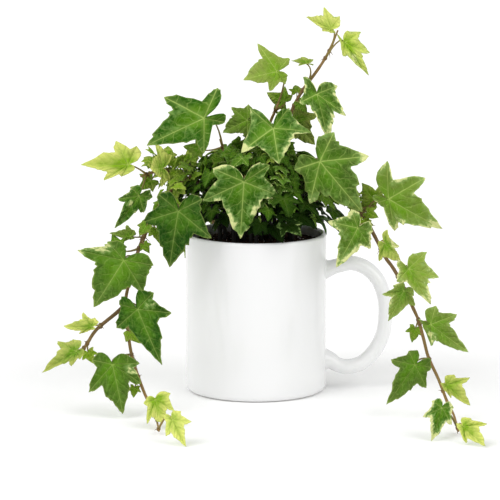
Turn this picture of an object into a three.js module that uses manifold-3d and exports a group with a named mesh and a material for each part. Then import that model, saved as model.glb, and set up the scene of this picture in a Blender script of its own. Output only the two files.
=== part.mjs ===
// A potted English ivy: a ceramic mug filled with soil, and leafy stems that stand in the soil,
// crowd above the rim and trail over it to the surface that the mug stands on.
// Millimetres, +Z up. The origin is the middle of the mug's foot, and the viewer is toward -Y.

import * as THREE from "three";
import { mergeVertices } from "three/addons/utils/BufferGeometryUtils.js";
import Module from "manifold-3d";

const wasm = await Module();
wasm.setup();

// Mug
const MUG_RADIUS = 41;
const MUG_HEIGHT = 92.5;
const MUG_WALL = 3;
const MUG_FLOOR = 5;
const FOOT_EDGE = 1.5;
const INNER_EDGE = 4;
const MUG_SIDES = 36;
const GAP = 0.3;

// Handle: its middle line in the plane y = 0, as distance from the mug's axis and height
const HANDLE_LINE = [
  [39, 70], [46, 73.5], [56, 74.3], [65, 70.8], [71.6, 63.2], [75, 53], [75.4, 42],
  [73.8, 31.5], [69.2, 22.5], [62, 15.7], [54, 13.2], [46.5, 14.2], [39, 19],
];
const HANDLE_HALF_DEPTH = 4.2;
const HANDLE_HALF_WIDTH = 6.5;
const HANDLE_FLARE = 0.45;
const HANDLE_FLARE_REACH = 0.12;
const HANDLE_SIDES = 10;
const HANDLE_STEPS = 24;

// Soil
const SOIL_LEVEL = 87;
const SOIL_CROWN = 2;
const SOIL_SHOULDER = 1.4;
const ROOT_DEPTH = 12;
const STRAIGHT_FOOT = 5;
const HOLE_SIDES = 6;
const HOLE_CLEARANCE = 0.5;

// Stems and leaves
const STEM_RADIUS = 1.1;
const STEM_TIP_RADIUS = 0.7;
const STEM_SIDES = 5;
const PETIOLE_HALF_WIDTH = 0.55;
const PETIOLE_LEAD = 4;
const PETIOLE_BEND = 0.4;
const PETIOLE_DIP = 0.15;
const PETIOLE_STEP = 12;
const FIRST_LEAF_MARK = ROOT_DEPTH + 8;
const BLADE_THICKNESS = 0.9;
const BLADE_DROOP = 0.1;
const BLADE_FOLD = 0.035;
const FINE_LEAF = 17;
const CLEARANCE = 0.45;

// A blade has five lobes. An outline point is a mix of the vectors from the leaf's joint to the
// middle tip, to the side tip and to the basal tip of its half.
const FINE_HALF = [[0.53, 0.33, 0], [0.13, 0.51, 0], [0, 1, 0], [0, 0.26, 0.55], [0, 0, 1], [-0.2, 0, 0.4]];
const PLAIN_HALF = [[0.2, 0.45, 0], [0, 1, 0], [0, 0, 1]];
// The lobes of a regular leaf: angle from the middle tip in degrees, and share of its length
const REGULAR_LOBES = [[-118, 0.56], [-64, 0.74], [0, 1], [64, 0.74], [118, 0.56]];

// The plant is laid out as it looks from the front: x and z in the plane y = 0, and how far
// toward the viewer a point is brought along the line of sight from this eye.
const EYE = new THREE.Vector3(-3.5, -1700, 372);

// Stems: where each stands in the soil (x, y), then its points as [x, z, forward]
const STEMS = {
  vine_left: {
    root: [-18, -2],
    points: [
      [-27, 112, 4], [-36, 124, 9], [-43, 122, 14], [-50, 116, 22], [-57, 106, 29], [-63, 94, 35],
      [-68, 83, 40], [-74, 62, 47], [-76, 51, 50], [-75, 36, 54], [-73, 21, 58], [-70, 10, 62],
      [-65, -4, 72], [-59, -17, 94], [-57, -26, 122],
    ],
    branch: [[-76, 51, 50], [-80, 46, 53], [-93, 35, 58], [-99, 26, 61], [-103, 21, 63]],
  },
  vine_right: {
    root: [20, -1],
    points: [
      [30, 108, 4], [42, 114, 8], [51, 110, 13], [61, 104, 18], [69, 90, 28], [75, 78, 35],
      [80, 71, 40], [86, 60, 46], [91, 49, 51], [95, 40, 54], [98, 29, 58], [101, 18, 62],
      [107, 5, 70], [112, -8, 84], [116, -16, 98], [119, -26, 124],
    ],
  },
  vine_upper: {
    root: [10, 4],
    points: [[14, 120, -2], [16, 148, 0], [20, 162, 2], [26, 174, 3], [36, 188, 3], [42, 198, 2], [47, 210, 0]],
  },
  shoot_left: {
    root: [-13, 8],
    points: [[-18, 112, -4], [-30, 124, -2], [-46, 128, 1], [-58, 128, 3], [-67, 125, 5]],
  },
  shoot_front_left: {
    root: [-11, -11],
    points: [[-13, 115, 10], [-16, 132, 10], [-21, 147, 10]],
  },
  shoot_front: {
    root: [-3, -19],
    points: [[-3, 104, 17], [-4, 116, 13], [-6, 124, 12]],
  },
  shoot_middle: {
    root: [3, -6],
    points: [[5, 118, 6], [7, 136, 5], [9, 150, 8]],
  },
  shoot_top: {
    root: [0, 9],
    points: [[2, 122, -10], [6, 150, -9], [13, 168, -4]],
  },
  shoot_right: {
    root: [14, -13],
    points: [[17, 108, 14], [24, 122, 15], [33, 133, 15]],
  },
};

// Leaves on those stems. A traced leaf is its joint, its five lobe tips round the blade, and
// [forward, nod, roll]; a plain leaf gives its joint and middle tip only. Nod brings the middle
// tip forward and roll the second side, both in degrees.
const LEAVES = {
  vine_left: [
    [[-45, 105], [-57, 115], [-67, 98], [-51, 72], [-26, 89], [-31, 112], [44, 12, 10]],
    [[-77, 76], [-86, 87], [-103, 82], [-94, 48], [-65, 57], [-59, 73], [56, 18, -12]],
    [[-69, 47], [-80, 50], [-82, 36], [-56, 14], [-50, 45], [-60, 57], [66, 22, 12]],
    [[-84, 14], [-96, 17], [-98, -2], [-78, -15], [-67, 3], [-68, 15], [70, 24, -10]],
    [[-59, -7], [-66, -9], [-64, -21], [-55, -21], [-48, -13], [-50, -3], [101, 28, -10]],
    [[-49, -19], [-54, -18], [-53, -29], [-42, -34.5], [-38, -20], [-44, -14], [138, 35, 5]],
    [[-96, 37], [-94, 42], [-101, 45], [-113, 36], [-103, 32], [-98, 34], [63, -15, -20]],
    [[-105, 22], [-107, 29], [-116, 28], [-125, 10], [-108, 13], [-103, 17], [69, 20, 18]],
    [[-73, 90], [-71, 94], [-75, 97], [-85, 92], [-77, 87], [-73, 88], [42, 10, 20]],
    [[-80, 84], [-84, 92], [46, -25, 0]],
    [[-64, 96], [-68, 90], [45, 10, 10]],
    [[-58, 94], [-56, 86], [38, 10, -15]],
    [[-65, 85], [-62, 80], [42, 20, 0]],
    [[-73, 33], [-68, 26], [60, 0, 30]],
    [[-98, 21], [-95, 14], [59, 0, 20]],
    [[-71, 0], [-72, -6], [64, 0, 10]],
  ],
  vine_right: [
    [[77, 112], [70, 110], [80, 93], [107, 94], [97, 124], [75, 134], [27, 22, 16]],
    [[59, 95], [55, 106], [42, 99], [48, 72], [67, 83], [68, 93], [34, 24, -16]],
    [[75, 86], [71, 84], [71, 75], [84, 75], [83, 84], [76, 94], [44, 14, 20]],
    [[89, 71], [82, 73], [82, 63], [101, 50], [106, 66], [99, 81], [56, 24, 14]],
    [[86, 58], [80, 61], [74, 56], [78, 40], [93, 49], [92, 55], [57, 22, -16]],
    [[102, 38], [97, 38], [102, 25], [123, 21], [117, 44], [105, 49], [66, 24, 16]],
    [[93, 14], [89, 22], [79, 17], [78, -10], [100, 0], [103, 12], [74, 22, -14]],
    [[112, 2], [110, -1], [114, -6], [125, -11], [125, 6], [116, 8], [84, 16, 20]],
    [[109, -12], [103, -8], [98, -17], [104, -31], [115, -22], [116, -12], [124, 34, -6]],
    [[122, -23], [119, -25], [123, -33], [134, -34.5], [135, -21], [126, -18], [138, 40, 6]],
    [[69, 111], [60, 121], [18, -20, -30]],
    [[65, 104], [71, 101], [24, 20, 10]],
    [[93, 35], [91, 27], [49, 10, 10]],
  ],
  vine_upper: [
    [[43, 211], [48, 218], [39, 223], [29, 217], [38, 210], [43, 206], [4, 12, -10]],
    [[49, 203], [46, 202], [50, 195], [64, 184], [65, 197], [60, 209], [8, 18, 14]],
    [[35, 173], [27, 183], [25, 168], [42, 148], [52, 161], [47, 178], [13, 26, -16]],
    [[31, 187], [21, 194], [8, 0, 50]],
    [[22, 158], [34, 143], [-5, -10, 15]],
    [[25, 168], [29, 162], [8, 10, 20]],
  ],
  shoot_left: [
    [[-74, 132], [-69, 143], [-81, 146], [-101, 133], [-88, 123], [-78, 125], [9, 10, 24]],
    [[-54, 130], [-48, 138], [-57, 145], [-61, 130], [-54, 119], [-49, 122], [10, 30, 10]],
    [[-68, 114], [-73, 119], [-80, 112], [-81, 95], [-65, 104], [-60, 113], [18, 26, -14]],
    [[-61, 123], [-69, 117], [-2, 0, -10]],
  ],
  shoot_front_left: [
    [[-30, 159], [-22, 177], [-53, 172], [-63, 144], [-30, 139], [-18, 157], [18, 14, 18]],
    [[-33, 141], [-42, 143], [14, 0, 20]],
  ],
  shoot_front: [
    [[-7, 122], [-25, 130], [-31, 111], [-9, 89], [13, 114], [8, 132], [34, 16, 0]],
  ],
  shoot_middle: [
    [[10, 153], [-4, 166], [-9, 140], [13, 134], [32, 152], [19, 166], [15, 42, 4]],
  ],
  shoot_top: [
    [[12, 186], [19, 194], [1, 203], [-7, 182], [8, 175], [17, 179], [3, 16, 24]],
    [[-5, 158], [-20, 151], [-2, -15, 25]],
    [[16, 169], [6, 174], [-9, -20, -25]],
  ],
  shoot_right: [
    [[37, 134], [22, 129], [31, 109], [61, 104], [65, 137], [45, 151], [27, 10, 6]],
    [[43, 118], [48, 108], [2, 0, 10]],
  ],
};

// Crown: small leaves over nested domes, on a ring of short shoots and a few taller ones inside it.
// A shoot's azimuth is in turns, and its stem is given as distances from the axis and heights.
const CROWN_RING_STEM = [[24, 101], [27, 110], [29, 118]];
const CROWN_INNER_STEM = [[10, 108], [11, 122], [12, 134]];
const CROWN_RING_SHOOTS = 10;
const CROWN_RING_RADIUS = 22;
const CROWN_INNER_AZIMUTHS = [0.17, 0.44, 0.63, 0.9];
const CROWN_INNER_RADIUS = 10;
const CROWN_LEAVES = 390;
const CROWN_CENTRE_HEIGHT = 101;
const CROWN_RADIUS = 46;
const CROWN_HEIGHT = 44;
const CROWN_SHELLS = [1, 0.86, 0.72, 0.56];
const CROWN_TOP_ANGLE = 8;
const CROWN_EDGE_ANGLE = 93;
const CROWN_LEAF_TILT = 0.75;
const CROWN_LEAF_SWING = 1.6;
const CROWN_LEAF_HANG = [-0.9, -0.4];
const CROWN_LEAF_LENGTH = [8, 14];
const CROWN_STEM_SWAY = 0.12;
const CROWN_SEED = 2717;
const GOLDEN_ANGLE = Math.PI * (3 - Math.sqrt(5));

// Vines that trail behind the mug: azimuth in radians, and the stem as distances and heights
const BACK_VINES = {
  vine_back_left: {
    azimuth: 0.65 * Math.PI,
    stem: [[24, 112], [36, 122], [50, 112], [56, 92], [57, 72], [55, 52]],
  },
  vine_back_right: {
    azimuth: 0.4 * Math.PI,
    stem: [[24, 112], [36, 122], [50, 112], [56, 92], [57, 57], [55, 22]],
  },
};
const BACK_ROOT_RADIUS = 19;
const BACK_VINE_LEAVES = 7;
const BACK_LEAVES_START = 0.52;
const BACK_LEAF_ASIDE = 8;
const BACK_LEAF_OUT = 5;
const BACK_LEAF_SPREAD = 0.75;
const BACK_LEAF_LIFT = 0.6;
const BACK_LEAF_LENGTH = [20, 12];

const CERAMIC = new THREE.MeshStandardMaterial({ color: 0xf4f4f3, roughness: 0.15, metalness: 0 });
const EARTH = new THREE.MeshStandardMaterial({ color: 0x241a14, roughness: 1, metalness: 0 });
const LEAF = new THREE.MeshStandardMaterial({ color: 0x4a803a, roughness: 0.5, metalness: 0 });

const vector = (x, y, z) => new THREE.Vector3(x, y, z);
const radians = THREE.MathUtils.degToRad;

// Each stem, petiole and blade that stands so far, so that later leaves keep clear of it
const pieces = [];

// A closed geometry as a solid that can be joined and cut
function solidOf(geometry) {
  geometry.deleteAttribute("normal");
  geometry.deleteAttribute("uv");
  const merged = mergeVertices(geometry, 1e-4);
  return new wasm.Manifold(new wasm.Mesh({
    numProp: 3,
    vertProperties: merged.attributes.position.array,
    triVerts: new Uint32Array(merged.index.array),
  }));
}

// A solid as a named mesh
function meshOf(name, solid, material) {
  const { vertProperties, triVerts } = solid.getMesh();
  const geometry = new THREE.BufferGeometry();
  geometry.setAttribute("position", new THREE.BufferAttribute(vertProperties, 3));
  geometry.setIndex(new THREE.BufferAttribute(triVerts, 1));
  geometry.computeVertexNormals();
  const mesh = new THREE.Mesh(geometry, material);
  mesh.name = name;
  return mesh;
}

// A closed tube round a line of points; size(u) gives its two half widths
function tube(line, sides, size) {
  const positions = [];
  const index = [];
  const last = line.length - 1;
  const across = vector(0, 1, 0);
  line.forEach((middle, i) => {
    const tangent = line[Math.min(i + 1, last)].clone().sub(line[Math.max(i - 1, 0)]).normalize();
    across.addScaledVector(tangent, -across.dot(tangent)).normalize();
    const depth = tangent.clone().cross(across);
    const [width, thickness] = size(i / last);
    for (let k = 0; k < sides; k++) {
      const turn = (2 * Math.PI * k) / sides;
      const point = middle.clone().addScaledVector(across, width * Math.cos(turn))
        .addScaledVector(depth, thickness * Math.sin(turn));
      positions.push(...point.toArray());
    }
  });
  for (let i = 0; i < last; i++) joinRings(index, ringFrom(i * sides, sides), ringFrom((i + 1) * sides, sides));
  for (let k = 1; k < sides - 1; k++) {
    index.push(0, k + 1, k, last * sides, last * sides + k, last * sides + k + 1);
  }
  return solidFrom(positions, index);
}

function ringFrom(first, sides) {
  return Array.from({ length: sides }, (_, k) => first + k);
}

// The faces between two rings of corners
function joinRings(index, near, far) {
  near.forEach((a, k) => {
    const next = (k + 1) % near.length;
    index.push(a, near[next], far[next], a, far[next], far[k]);
  });
}

function solidFrom(positions, index) {
  const geometry = new THREE.BufferGeometry();
  geometry.setAttribute("position", new THREE.Float32BufferAttribute(positions, 3));
  geometry.setIndex(index);
  return solidOf(geometry);
}

// Mug: a turned cup with a rounded rim and a flat foot, and its handle
function mug() {
  const inside = MUG_RADIUS - MUG_WALL;
  const rimMiddle = MUG_RADIUS - MUG_WALL / 2;
  const rimRadius = MUG_WALL / 2;
  const profile = [new THREE.Vector2(0, 0), new THREE.Vector2(MUG_RADIUS - FOOT_EDGE, 0)];
  profile.push(new THREE.Vector2(MUG_RADIUS, FOOT_EDGE));
  for (let i = 0; i <= 4; i++) {
    const turn = (Math.PI * i) / 4;
    const height = MUG_HEIGHT - rimRadius + rimRadius * Math.sin(turn);
    profile.push(new THREE.Vector2(rimMiddle + rimRadius * Math.cos(turn), height));
  }
  profile.push(new THREE.Vector2(inside, MUG_FLOOR + INNER_EDGE));
  profile.push(new THREE.Vector2(inside - INNER_EDGE, MUG_FLOOR));
  profile.push(new THREE.Vector2(0, MUG_FLOOR));
  const cup = new THREE.LatheGeometry(profile, MUG_SIDES).rotateX(Math.PI / 2);
  const line = new THREE.CatmullRomCurve3(HANDLE_LINE.map(([x, z]) => vector(x, 0, z)));
  const handle = tube(line.getPoints(HANDLE_STEPS), HANDLE_SIDES, (u) => {
    const near = Math.max(0, 1 - Math.min(u, 1 - u) / HANDLE_FLARE_REACH);
    const flare = 1 + HANDLE_FLARE * near ** 2;
    return [HANDLE_HALF_WIDTH * flare, HANDLE_HALF_DEPTH * flare];
  });
  const bore = new THREE.CylinderGeometry(inside, inside, MUG_HEIGHT, MUG_SIDES)
    .rotateX(Math.PI / 2).translate(0, 0, MUG_FLOOR + INNER_EDGE + MUG_HEIGHT / 2);
  const body = solidOf(cup).add(handle.subtract(solidOf(bore)));
  pieces.push({ name: "mug", solid: body });
  return meshOf("mug", body, CERAMIC);
}

// A point on a ring round the mug's axis
function onRing(radius, azimuth) {
  return [radius * Math.cos(azimuth), radius * Math.sin(azimuth)];
}

// The crown's shoots: azimuth in radians, distance of the foot from the axis, and stem
function crownShoots() {
  const ring = Array.from({ length: CROWN_RING_SHOOTS }, (_, number) => ({
    azimuth: ((number + 0.5) / CROWN_RING_SHOOTS) * 2 * Math.PI, radius: CROWN_RING_RADIUS, stem: CROWN_RING_STEM,
  }));
  const inner = CROWN_INNER_AZIMUTHS.map((turns) => ({
    azimuth: turns * 2 * Math.PI, radius: CROWN_INNER_RADIUS, stem: CROWN_INNER_STEM,
  }));
  return [...ring, ...inner];
}

// Where each stem stands in the soil
function stemFeet() {
  const feet = Object.values(STEMS).map((stem) => stem.root);
  for (const { azimuth } of Object.values(BACK_VINES)) feet.push(onRing(BACK_ROOT_RADIUS, azimuth));
  for (const { azimuth, radius } of crownShoots()) feet.push(onRing(radius, azimuth));
  return feet;
}

// Soil: it fills the mug to a little below the rim, with a hole for each stem
function soil() {
  const radius = MUG_RADIUS - MUG_WALL - GAP;
  const bottom = MUG_FLOOR + GAP;
  const profile = [
    new THREE.Vector2(0, bottom), new THREE.Vector2(radius - INNER_EDGE, bottom),
    new THREE.Vector2(radius, bottom + INNER_EDGE), new THREE.Vector2(radius, SOIL_LEVEL),
    new THREE.Vector2(radius / 2, SOIL_LEVEL + SOIL_SHOULDER),
    new THREE.Vector2(0, SOIL_LEVEL + SOIL_CROWN),
  ];
  let body = solidOf(new THREE.LatheGeometry(profile, MUG_SIDES).rotateX(Math.PI / 2));
  const holeRadius = STEM_RADIUS + HOLE_CLEARANCE;
  const depth = ROOT_DEPTH + GAP;
  for (const [x, y] of stemFeet()) {
    const hole = new THREE.CylinderGeometry(holeRadius, holeRadius, 2 * depth, HOLE_SIDES);
    body = body.subtract(solidOf(hole.rotateX(Math.PI / 2).translate(x, y, SOIL_LEVEL)));
  }
  pieces.push({ name: "soil", solid: body });
  return meshOf("soil", body, EARTH);
}

// A point of the front layout, brought forward along the line of sight
function seen(x, z, forward) {
  const share = forward / -EYE.y;
  return vector(THREE.MathUtils.lerp(x, EYE.x, share), -forward, THREE.MathUtils.lerp(z, EYE.z, share));
}

// A leaf: a thin blade of one thickness, drooping toward its tips and folded up between its
// veins, and, where a stem point is given, the petiole that runs to it from the notch
function leafSolid({ joint, tips, facing }, stemPoint) {
  const [basal1, side1, middle, side2, basal2] = tips.map((tip) => tip.clone().sub(joint));
  const length = middle.length();
  const half = length >= FINE_LEAF ? FINE_HALF : PLAIN_HALF;
  const across = facing.clone().cross(middle).setLength(PETIOLE_HALF_WIDTH);
  const sheet = [];
  const place = (point, fold) => {
    const rise = length * ((fold ? BLADE_FOLD : 0) - BLADE_DROOP * (point.length() / length) ** 2);
    return sheet.push(point.addScaledVector(facing, rise).add(joint)) - 1;
  };
  const tip = place(middle.clone(), false);
  const centre = half === FINE_HALF ? place(middle.clone().multiplyScalar(0.5), false) : tip;
  const faces = [];
  const rims = [[side2, basal2], [side1, basal1]].map(([side, basal], second) => {
    const rim = half.map((mix) => place(vector(0, 0, 0).addScaledVector(middle, mix[0])
      .addScaledVector(side, mix[1]).addScaledVector(basal, mix[2]), !mix.includes(1)));
    const notch = place(across.clone().multiplyScalar(second ? -1 : 1), false);
    const fan = centre === tip ? [[tip, rim[0], notch]] : [[tip, rim[0], centre], [centre, rim[0], notch]];
    for (let i = 1; i < rim.length; i++) fan.push([notch, rim[i - 1], rim[i]]);
    faces.push(...fan.map(([a, b, c]) => (second ? [a, c, b] : [a, b, c])));
    return [...rim, notch];
  });
  faces.push([centre, rims[0].at(-1), rims[1].at(-1)]);
  const outline = [tip, ...rims[0], ...rims[1].reverse()];
  const count = sheet.length;
  const positions = [];
  for (const offset of [BLADE_THICKNESS / 2, -BLADE_THICKNESS / 2]) {
    for (const point of sheet) positions.push(...point.clone().addScaledVector(facing, offset).toArray());
  }
  const index = [];
  for (const [a, b, c] of faces) index.push(a, b, c, a + count, c + count, b + count);
  const notchEnd = rims[0].at(-1);
  outline.forEach((a, i) => {
    const b = outline[(i + 1) % outline.length];
    if (!stemPoint || a !== notchEnd) index.push(a, a + count, b + count, a, b + count, b);
  });
  if (stemPoint) {
    const notchStart = outline[outline.indexOf(notchEnd) + 1];
    const mouth = [notchStart, notchEnd, notchEnd + count, notchStart + count];
    addPetiole(positions, index, mouth, petioleLine(joint, middle, facing, stemPoint), across);
  }
  return solidFrom(positions, index);
}

// A petiole's line: it leaves the notch away from the middle tip and bends to the stem
function petioleLine(joint, middle, facing, stemPoint) {
  const reach = joint.distanceTo(stemPoint);
  const bend = joint.clone().addScaledVector(middle.clone().normalize(), -PETIOLE_BEND * reach)
    .addScaledVector(facing, -PETIOLE_DIP * reach);
  return new THREE.QuadraticBezierCurve3(joint, bend, stemPoint).getPoints(Math.ceil(reach / PETIOLE_STEP));
}

// A four-sided petiole that runs on from the notch of a blade, and its end inside the stem
function addPetiole(positions, index, mouth, line, firstAcross) {
  const across = firstAcross.clone().normalize();
  let near = mouth;
  for (let i = 1; i < line.length; i++) {
    const ahead = line[Math.min(i + 1, line.length - 1)];
    const tangent = ahead.clone().sub(line[i - 1]).normalize();
    across.addScaledVector(tangent, -across.dot(tangent)).normalize();
    const depth = across.clone().cross(tangent);
    const far = ringFrom(positions.length / 3, 4);
    for (const [wide, deep] of [[-1, 1], [1, 1], [1, -1], [-1, -1]]) {
      const corner = line[i].clone().addScaledVector(across, wide * PETIOLE_HALF_WIDTH)
        .addScaledVector(depth, deep * PETIOLE_HALF_WIDTH);
      positions.push(...corner.toArray());
    }
    joinRings(index, near, far);
    near = far;
  }
  index.push(near[0], near[1], near[2], near[0], near[2], near[3]);
}

// The five lobe tips of a regular leaf, from its joint, its middle tip and the way it faces
function regularTips(joint, tip, facing) {
  const along = tip.clone().sub(joint);
  return REGULAR_LOBES.map(([angle, share]) => along.clone()
    .applyAxisAngle(facing, radians(angle)).multiplyScalar(share).add(joint));
}

// A leaf of the front layout: its joint, tips and facing in space
function laidOutLeaf(row) {
  const [forward, nod, roll] = row[row.length - 1];
  const [joint, ...given] = row.slice(0, -1).map(([x, z]) => new THREE.Vector2(x, z));
  const middle = given[given.length === 1 ? 0 : 2].clone().sub(joint);
  const along = middle.clone().normalize();
  const across = new THREE.Vector2(-along.y, along.x);
  const tips = given.length > 1 ? given : REGULAR_LOBES.map(([angle, share]) => middle.clone()
    .rotateAround(new THREE.Vector2(), radians(angle)).multiplyScalar(share).add(joint));
  const placed = tips.map((tip) => {
    const offset = tip.clone().sub(joint);
    const nearer = Math.tan(radians(nod)) * offset.dot(along) + Math.tan(radians(roll)) * offset.dot(across);
    return seen(tip.x, tip.y, forward + nearer);
  });
  const start = seen(joint.x, joint.y, forward);
  const facing = placed[2].clone().sub(start).cross(placed[3].clone().sub(start)).normalize();
  return { joint: start, tips: placed, facing };
}

// Where a leaf's petiole leaves its stem: a little before the point nearest to the leaf
function takeOff(stem, target) {
  const marks = [];
  for (let i = 1; i < stem.length; i++) {
    const steps = Math.ceil(stem[i].distanceTo(stem[i - 1]));
    for (let k = 0; k < steps; k++) marks.push(stem[i - 1].clone().lerp(stem[i], k / steps));
  }
  const nearest = marks.reduce((best, mark, i) =>
    (mark.distanceTo(target) < marks[best].distanceTo(target) ? i : best), 0);
  return marks[Math.max(FIRST_LEAF_MARK, nearest - PETIOLE_LEAD)];
}

function stemTube(points) {
  return tube(points, STEM_SIDES, (u) => {
    const radius = THREE.MathUtils.lerp(STEM_RADIUS, STEM_TIP_RADIUS, u);
    return [radius, radius];
  });
}

// The straight foot of a stem in its hole, then its free points
function rooted([x, y], free) {
  return [-ROOT_DEPTH, SOIL_CROWN, SOIL_CROWN + STRAIGHT_FOOT].map((rise) => vector(x, y, SOIL_LEVEL + rise)).concat(free);
}

// All that stands under one name, joined
function joined(name) {
  const [first, ...rest] = pieces.filter((piece) => piece.name === name);
  return meshOf(name, rest.reduce((sum, piece) => sum.add(piece.solid), first.solid), LEAF);
}

function standStem(name, points) {
  pieces.push({ name, solid: stemTube(points) });
}

function standLeaf(name, leaf, stemPoint) {
  pieces.push({ name, solid: leafSolid(leaf, stemPoint), blade: leafSolid(leaf) });
}

// A leafy stem with its branches: each leaf hangs from the branch nearest to it
function leafyStem(name, stems, leaves) {
  for (const points of stems) standStem(name, points);
  for (const leaf of leaves) {
    const starts = stems.map((points) => takeOff(points, leaf.joint));
    starts.sort((a, b) => a.distanceTo(leaf.joint) - b.distanceTo(leaf.joint));
    standLeaf(name, leaf, starts[0]);
  }
  return joined(name);
}

function keepsOff(a, b) {
  const one = a.boundingBox();
  const two = b.boundingBox();
  const apart = [0, 1, 2].some((axis) =>
    one.min[axis] - CLEARANCE > two.max[axis] || one.max[axis] + CLEARANCE < two.min[axis]);
  return apart || a.minGap(b, 2 * CLEARANCE) > CLEARANCE;
}

// Whether a leaf keeps clear of all that stands already, apart from the stem that it grows from
function standsClear(leaf, stemPoint, name) {
  const whole = leafSolid(leaf, stemPoint);
  const blade = leafSolid(leaf);
  return pieces.every((other) => {
    if (other.name !== name) return keepsOff(whole, other.solid);
    return keepsOff(blade, other.solid) && (!other.blade || keepsOff(whole, other.blade));
  });
}

// Repeatable random numbers from 0 to 1
function randomFrom(seed) {
  let state = seed;
  return () => {
    state = (state * 16807) % 2147483647;
    return state / 2147483647;
  };
}

// A leaf's facing made square to the way its middle tip points
function leafAt(joint, direction, outward, length) {
  const facing = outward.clone().addScaledVector(direction, -outward.dot(direction)).normalize();
  const tip = joint.clone().addScaledVector(direction, length);
  return { joint, tips: regularTips(joint, tip, facing), facing };
}

// The crown's leaves: evenly spread over the domes, facing out, tips hanging
function crownLeaf(number, random) {
  const azimuth = number * GOLDEN_ANGLE;
  const drop = Math.sqrt((number + 0.5) / CROWN_LEAVES);
  const fall = radians(THREE.MathUtils.lerp(CROWN_TOP_ANGLE, CROWN_EDGE_ANGLE, drop));
  const shell = CROWN_SHELLS[number % CROWN_SHELLS.length];
  const spread = CROWN_RADIUS * shell * Math.sin(fall);
  const height = CROWN_CENTRE_HEIGHT + CROWN_HEIGHT * shell * Math.cos(fall);
  const joint = vector(spread * Math.cos(azimuth), spread * Math.sin(azimuth), height);
  const tilt = fall * CROWN_LEAF_TILT;
  const outward = vector(Math.sin(tilt) * Math.cos(azimuth), Math.sin(tilt) * Math.sin(azimuth), Math.cos(tilt));
  const heading = azimuth + (random() - 0.5) * CROWN_LEAF_SWING;
  const hang = THREE.MathUtils.lerp(...CROWN_LEAF_HANG, random());
  const tip = vector(Math.cos(heading), Math.sin(heading), hang).normalize();
  const length = THREE.MathUtils.lerp(...CROWN_LEAF_LENGTH, random());
  return leafAt(joint, tip, outward, length);
}

function crown() {
  const random = randomFrom(CROWN_SEED);
  const shoots = crownShoots().map(({ azimuth, radius, stem }, number) => {
    const free = stem.map(([reach, height], i) =>
      vector(...onRing(reach, azimuth + CROWN_STEM_SWAY * i * (random() - 0.5)), height));
    return { name: `crown_shoot_${number + 1}`, points: rooted(onRing(radius, azimuth), free) };
  });
  for (const { name, points } of shoots) standStem(name, points);
  for (let number = 0; number < CROWN_LEAVES; number++) {
    const leaf = crownLeaf(number, random);
    const origins = shoots.map(({ name, points }) => ({ name, point: takeOff(points, leaf.joint) }));
    origins.sort((a, b) => a.point.distanceTo(leaf.joint) - b.point.distanceTo(leaf.joint));
    const [{ name, point }] = origins;
    if (standsClear(leaf, point, name)) standLeaf(name, leaf, point);
  }
  return shoots.map(({ name }) => joined(name));
}

// A vine that trails down behind the mug, its leaves to the left and right in turn and one at its end
function backVine(name) {
  const { azimuth, stem } = BACK_VINES[name];
  const out = vector(Math.cos(azimuth), Math.sin(azimuth), 0);
  const beside = vector(-Math.sin(azimuth), Math.cos(azimuth), 0);
  const free = stem.map(([reach, height]) => out.clone().multiplyScalar(reach).setZ(height));
  const points = rooted(onRing(BACK_ROOT_RADIUS, azimuth), free);
  const curve = new THREE.CatmullRomCurve3(points);
  const leaves = [];
  for (let i = 0; i < BACK_VINE_LEAVES; i++) {
    const share = i / (BACK_VINE_LEAVES - 1);
    const side = share === 1 ? 0 : (-1) ** (i + 1);
    const joint = curve.getPointAt(THREE.MathUtils.lerp(BACK_LEAVES_START, 1, share))
      .addScaledVector(beside, BACK_LEAF_ASIDE * side).addScaledVector(out, BACK_LEAF_OUT);
    const direction = beside.clone().multiplyScalar(BACK_LEAF_SPREAD * side).add(vector(0, 0, -1)).normalize();
    const facing = out.clone().setZ(BACK_LEAF_LIFT);
    leaves.push(leafAt(joint, direction, facing, THREE.MathUtils.lerp(...BACK_LEAF_LENGTH, share)));
  }
  return leafyStem(name, [points], leaves);
}

const ivy = new THREE.Group();
ivy.add(mug(), soil());
for (const [name, { root, points, branch }] of Object.entries(STEMS)) {
  const stems = [rooted(root, points.map((point) => seen(...point)))];
  if (branch) stems.push(branch.map((point) => seen(...point)));
  ivy.add(leafyStem(name, stems, LEAVES[name].map(laidOutLeaf)));
}
for (const name of Object.keys(BACK_VINES)) ivy.add(backVine(name));
ivy.add(...crown());

export default ivy;
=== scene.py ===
import functools
import math

import bmesh
import bpy
from mathutils import Matrix, Vector, bvhtree, kdtree, noise


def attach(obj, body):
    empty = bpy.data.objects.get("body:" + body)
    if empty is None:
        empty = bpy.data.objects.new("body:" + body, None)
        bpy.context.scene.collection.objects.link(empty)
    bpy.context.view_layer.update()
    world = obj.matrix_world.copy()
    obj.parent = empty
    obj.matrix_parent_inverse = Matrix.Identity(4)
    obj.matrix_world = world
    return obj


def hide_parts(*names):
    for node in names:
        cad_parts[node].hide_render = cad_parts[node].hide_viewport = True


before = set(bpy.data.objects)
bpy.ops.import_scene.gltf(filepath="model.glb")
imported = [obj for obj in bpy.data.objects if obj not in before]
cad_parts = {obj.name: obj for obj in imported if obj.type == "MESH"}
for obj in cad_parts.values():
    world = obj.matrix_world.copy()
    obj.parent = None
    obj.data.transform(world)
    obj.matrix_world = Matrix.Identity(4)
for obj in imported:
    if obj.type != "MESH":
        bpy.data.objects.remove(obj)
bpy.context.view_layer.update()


# The mug: slip-cast white stoneware under a clear gloss glaze, fired in one piece. The cup is turned,
# the rim is rounded, the foot stands on a narrow bare ring, and the handle is a flattened strap whose
# two ends are luted on and widen into the wall.
MM = 0.001
MUG_RADIUS = 41
MUG_HEIGHT = 92.5
MUG_WALL = 3
MUG_FLOOR = 5
MUG_STEPS = 128
RIM_STEPS = 10
WALL_RINGS = range(12, 88, 8)
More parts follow.
